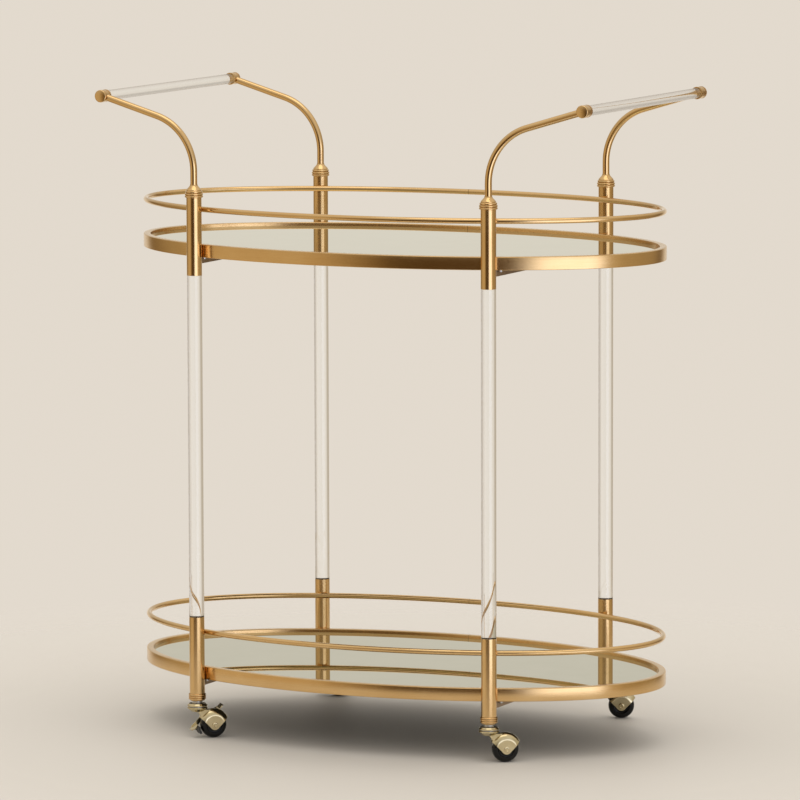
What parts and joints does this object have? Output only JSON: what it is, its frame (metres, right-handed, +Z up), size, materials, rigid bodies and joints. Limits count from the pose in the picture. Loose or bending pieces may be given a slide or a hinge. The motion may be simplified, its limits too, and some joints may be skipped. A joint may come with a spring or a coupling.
{
  "type": "bar cart",
  "caption": "Oval bar cart on swivel casters: mirrored trays with gallery rails, clear posts in metal sleeves, and a clear push bar on curved arms at each end.",
  "frame": {"origin": "on the floor under the middle of the cart", "axes": "+X along the trays towards the right push bar, -Y the front, +Z up"},
  "size_m": [0.81, 0.465, 0.9353],
  "materials": {
    "gold_metal": "satin brushed gold",
    "polished_gold": "polished pale gold",
    "clear_acrylic": "clear polished acrylic",
    "mirror": "mirror glass with a warm tint",
    "board": "dark painted board",
    "bright_steel": "zinc plated",
    "dark_bronze": "satin dark bronze paint",
    "black_wheel": "smooth black",
    "dark_plastic": "matte black"
  },
  "bodies": {
    "frame": {"front_left_handle_arm": "gold_metal", "front_left_handle_cap": "gold_metal", "front_left_upper_sleeve": "gold_metal", "front_left_acrylic_post": "clear_acrylic", "front_left_lower_sleeve": "gold_metal", "front_right_handle_arm": "gold_metal", "front_right_handle_cap": "gold_metal", "front_right_upper_sleeve": "gold_metal", "front_right_acrylic_post": "clear_acrylic", "front_right_lower_sleeve": "gold_metal", "back_left_handle_arm": "gold_metal", "back_left_handle_cap": "gold_metal", "back_left_upper_sleeve": "gold_metal", "back_left_acrylic_post": "clear_acrylic", "back_left_lower_sleeve": "gold_metal", "back_right_handle_arm": "gold_metal", "back_right_handle_cap": "gold_metal", "back_right_upper_sleeve": "gold_metal", "back_right_acrylic_post": "clear_acrylic", "back_right_lower_sleeve": "gold_metal", "top_collars": "gold_metal", "bottom_collars": "gold_metal", "stem_sockets": "dark_plastic", "caster_stems": "bright_steel", "caster_top_plates": "polished_gold", "swivel_washers": "bright_steel", "tray_screws": "bright_steel", "post_studs": "bright_steel", "left_handle_bar": "clear_acrylic", "right_handle_bar": "clear_acrylic", "upper_tray_frame": "gold_metal", "upper_mirror": "mirror", "upper_backing_board": "board", "upper_gallery_rail": "gold_metal", "upper_left_crossbar": "dark_bronze", "upper_right_crossbar": "dark_bronze", "lower_tray_frame": "gold_metal", "lower_mirror": "mirror", "lower_backing_board": "board", "lower_gallery_rail": "gold_metal", "lower_left_crossbar": "dark_bronze", "lower_right_crossbar": "dark_bronze"},
    "front_left_caster": {"front_left_caster_hood": "polished_gold", "front_left_caster_axle": "polished_gold", "front_left_brake_pin": "polished_gold"},
    "front_left_wheel": {"front_left_caster_wheel": "black_wheel"},
    "front_left_brake": {"front_left_brake_lever": "polished_gold", "front_left_brake_shoe": "dark_plastic"},
    "front_right_caster": {"front_right_caster_hood": "polished_gold", "front_right_caster_axle": "polished_gold"},
    "front_right_wheel": {"front_right_caster_wheel": "black_wheel"},
    "back_left_caster": {"back_left_caster_hood": "polished_gold", "back_left_caster_axle": "polished_gold", "back_left_brake_pin": "polished_gold"},
    "back_left_wheel": {"back_left_caster_wheel": "black_wheel"},
    "back_left_brake": {"back_left_brake_lever": "polished_gold", "back_left_brake_shoe": "dark_plastic"},
    "back_right_caster": {"back_right_caster_hood": "polished_gold", "back_right_caster_axle": "polished_gold"},
    "back_right_wheel": {"back_right_caster_wheel": "black_wheel"}
  },
  "joints": [
    {"name": "front_left_swivel", "type": "hinge", "parent": "frame", "child": "front_left_caster", "pos_m": [-0.23284, -0.20208, 0.046], "axis": [0, 0, 1], "continuous": true},
    {"name": "front_left_wheel_spin", "type": "hinge", "parent": "front_left_caster", "child": "front_left_wheel", "pos_m": [-0.21565, -0.18605, 0.019], "axis": [-0.682, 0.7314, 0], "continuous": true},
    {"name": "front_left_brake_press", "type": "hinge", "parent": "front_left_caster", "child": "front_left_brake", "pos_m": [-0.22296, -0.19287, 0.031], "axis": [0.682, -0.7314, 0], "range_deg": [0, 8]},
    {"name": "front_right_swivel", "type": "hinge", "parent": "frame", "child": "front_right_caster", "pos_m": [0.23284, -0.20208, 0.046], "axis": [0, 0, 1], "continuous": true},
    {"name": "front_right_wheel_spin", "type": "hinge", "parent": "front_right_caster", "child": "front_right_wheel", "pos_m": [0.2511, -0.18729, 0.019], "axis": [-0.6293, 0.7771, 0], "continuous": true},
    {"name": "back_left_swivel", "type": "hinge", "parent": "frame", "child": "back_left_caster", "pos_m": [-0.23284, 0.20208, 0.046], "axis": [0, 0, 1], "continuous": true},
    {"name": "back_left_wheel_spin", "type": "hinge", "parent": "back_left_caster", "child": "back_left_wheel", "pos_m": [-0.21075, 0.21011, 0.019], "axis": [-0.342, 0.9397, 0], "continuous": true},
    {"name": "back_left_brake_press", "type": "hinge", "parent": "back_left_caster", "child": "back_left_brake", "pos_m": [-0.22015, 0.20669, 0.031], "axis": [0.342, -0.9397, 0], "range_deg": [0, 8]},
    {"name": "back_right_swivel", "type": "hinge", "parent": "frame", "child": "back_right_caster", "pos_m": [0.23284, 0.20208, 0.046], "axis": [0, 0, 1], "continuous": true},
    {"name": "back_right_wheel_spin", "type": "hinge", "parent": "back_right_caster", "child": "back_right_wheel", "pos_m": [0.25413, 0.21201, 0.019], "axis": [-0.4226, 0.9063, 0], "continuous": true}
  ]
}
